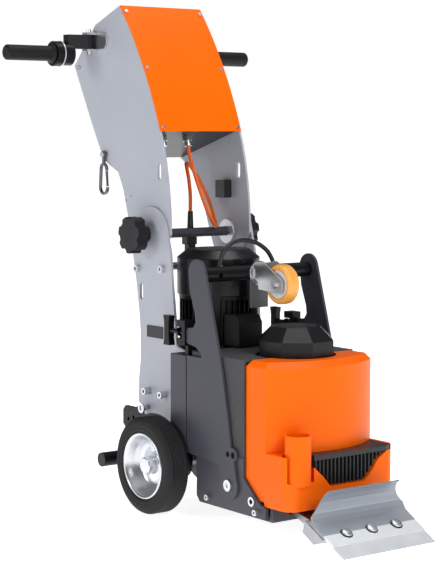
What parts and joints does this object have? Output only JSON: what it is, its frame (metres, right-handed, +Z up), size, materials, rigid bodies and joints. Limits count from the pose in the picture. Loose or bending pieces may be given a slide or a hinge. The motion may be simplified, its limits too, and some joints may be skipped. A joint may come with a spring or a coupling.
{
  "type": "floor stripper",
  "caption": "Walk-behind floor stripper with a vibrating scraper blade, orange ballast, driven wheels and a tilting console with folding handlebars.",
  "frame": {"origin": "on the floor under the middle of the machine's box", "axes": "+Z up, -Y forwards to the blade, +X to the machine's left as the operator stands"},
  "size_m": [0.642, 0.937, 1.052],
  "materials": {
    "plate_grey": "satin powder coat",
    "frame_dark": "satin powder coat",
    "cover_dark": "wrinkle powder coat",
    "black_metal": "satin powder coat",
    "tab_grey": "satin",
    "motor_black": "painted, satin",
    "cowl_black": "fine grain",
    "hydraulic_grey": "satin",
    "machined_steel": "turned",
    "blade_steel": "ground",
    "zinc": "zinc plated",
    "rim_steel": "bright pressed steel",
    "tyre": "matt rubber",
    "orange": "gloss powder coat",
    "grille_black": "satin",
    "castor_amber": "satin polyurethane",
    "cable_black": "matt",
    "lead_orange": "matt",
    "knob_black": "fine grain",
    "grip_rubber": "matt",
    "deflector_steel": "sheet steel, matt",
    "pad_white": "plain",
    "stop_red": "gloss",
    "start_green": "gloss",
    "switch_black": "satin"
  },
  "bodies": {
    "chassis": {"base_frame": "frame_dark", "base_bolts": "zinc", "horn_right": "frame_dark", "horn_left": "frame_dark", "crossbar": "black_metal", "tab_plate": "tab_grey", "rear_housing": "frame_dark", "side_right": "plate_grey", "side_left": "plate_grey", "frame_ties": "zinc", "foot_frame": "black_metal", "vib_motor": "motor_black", "vib_cowl": "cowl_black", "pump_motor": "motor_black", "pump_cowl": "cowl_black", "terminal_box": "motor_black", "pump_unit": "hydraulic_grey", "wheel_motor": "hydraulic_grey", "weight": "orange", "bumper": "orange", "grille": "grille_black", "head_cover": "cover_dark", "castor_mount": "zinc", "head_cable": "cable_black", "clamp_blocks": "black_metal", "cable_socket": "cable_black", "slide_pads": "pad_white", "motor_cable": "lead_orange"},
    "console": {"upper_right": "plate_grey", "upper_left": "plate_grey", "front_panel": "orange", "panel_screws": "zinc", "box_back": "black_metal", "glands": "zinc", "handle_brackets": "zinc", "pivot_tube": "frame_dark"},
    "vib_rotor": {"vib_shaft": "machined_steel"},
    "pump_shaft": {"pump_rotor": "machined_steel"},
    "drive": {"axle": "machined_steel", "rims": "rim_steel", "tyres": "tyre"},
    "castor_swivel": {"castor_fork": "zinc"},
    "castor_roll": {"castor_wheel": "castor_amber"},
    "clamp_right": {"tee_right": "black_metal"},
    "clamp_left": {"tee_left": "black_metal"},
    "star_right": {"knob_right": "knob_black"},
    "star_left": {"knob_left": "knob_black"},
    "handle_right": {"bar_right": "black_metal", "grip_right": "grip_rubber"},
    "handle_left": {"bar_left": "black_metal", "grip_left": "grip_rubber"},
    "hook": {"snap_hook": "machined_steel"},
    "gate": {"hook_gate": "machined_steel"},
    "blade_unit": {"blade_carrier": "zinc", "blade": "blade_steel", "deflector": "deflector_steel", "blade_bolts": "zinc"},
    "stop": {"stop_button": "stop_red"},
    "start": {"start_button": "start_green"},
    "switch": {"main_switch": "switch_black"}
  },
  "joints": [
    {"name": "console_tilt", "type": "hinge", "parent": "chassis", "child": "console", "pos_m": [0, 0.1755, 0.567], "axis": [1, 0, 0], "range_deg": [-55, 60], "deforming": ["motor_cable"]},
    {"name": "star_knob_right", "type": "hinge", "parent": "console", "child": "star_right", "pos_m": [-0.125, 0.1755, 0.567], "axis": [1, 0, 0], "range_deg": [-360, 0]},
    {"name": "star_knob_left", "type": "hinge", "parent": "console", "child": "star_left", "pos_m": [0.125, 0.1755, 0.567], "axis": [1, 0, 0], "range_deg": [0, 360]},
    {"name": "handle_fold_right", "type": "hinge", "parent": "console", "child": "handle_right", "pos_m": [-0.122, 0.3825, 0.979], "axis": [0, 0, 1], "range_deg": [0, 85]},
    {"name": "handle_fold_left", "type": "hinge", "parent": "console", "child": "handle_left", "pos_m": [0.122, 0.3825, 0.979], "axis": [0, 0, 1], "range_deg": [-85, 0]},
    {"name": "wheels_roll", "type": "hinge", "parent": "chassis", "child": "drive", "pos_m": [0, 0.0655, 0.1], "axis": [1, 0, 0], "continuous": true},
    {"name": "castor_swing", "type": "hinge", "parent": "chassis", "child": "castor_swivel", "pos_m": [0, -0.0685, 0.496], "axis": [0, -1, 0], "continuous": true},
    {"name": "castor_spin", "type": "hinge", "parent": "castor_swivel", "child": "castor_roll", "pos_m": [0, -0.1415, 0.478], "axis": [1, 0, 0], "continuous": true},
    {"name": "clamp_screw_right", "type": "hinge", "parent": "chassis", "child": "clamp_right", "pos_m": [-0.1395, 0.035, 0.3775], "axis": [0, 1, 0], "range_deg": [-360, 0]},
    {"name": "clamp_screw_left", "type": "hinge", "parent": "chassis", "child": "clamp_left", "pos_m": [0.1395, 0.035, 0.3775], "axis": [0, 1, 0], "range_deg": [-360, 0]},
    {"name": "blade_shake", "type": "slide", "parent": "chassis", "child": "blade_unit", "axis": [0, 1, 0], "range_m": [-0.0025, 0.0025], "stiffness_N_per_m": 60000},
    {"name": "vib_spin", "type": "hinge", "parent": "chassis", "child": "vib_rotor", "pos_m": [0, -0.1845, 0.22], "axis": [0, 0, 1], "continuous": true},
    {"name": "pump_spin", "type": "hinge", "parent": "chassis", "child": "pump_shaft", "pos_m": [0, 0.0735, 0.42], "axis": [0, 0, 1], "continuous": true},
    {"name": "hook_swing", "type": "hinge", "parent": "console", "child": "hook", "pos_m": [-0.111, 0.3425, 0.733], "axis": [1, 0, 0], "range_deg": [-90, 90]},
    {"name": "gate_open", "type": "hinge", "parent": "hook", "child": "gate", "pos_m": [-0.111, 0.3285, 0.6665], "axis": [-1, 0, 0], "range_deg": [0, 25], "stiffness_Nm_per_rad": 0.05, "springref_deg": -5.73},
    {"name": "stop_press", "type": "slide", "parent": "console", "child": "stop", "axis": [0, -0.7071, -0.7071], "range_m": [0, 0.005]},
    {"name": "start_press", "type": "slide", "parent": "console", "child": "start", "axis": [0, -0.7071, -0.7071], "range_m": [0, 0.004], "stiffness_N_per_m": 400, "springref_m": -0.001},
    {"name": "switch_turn", "type": "hinge", "parent": "console", "child": "switch", "pos_m": [0.055, 0.4215, 0.971], "axis": [0, 0.7071, 0.7071], "range_deg": [0, 90]}
  ]
}
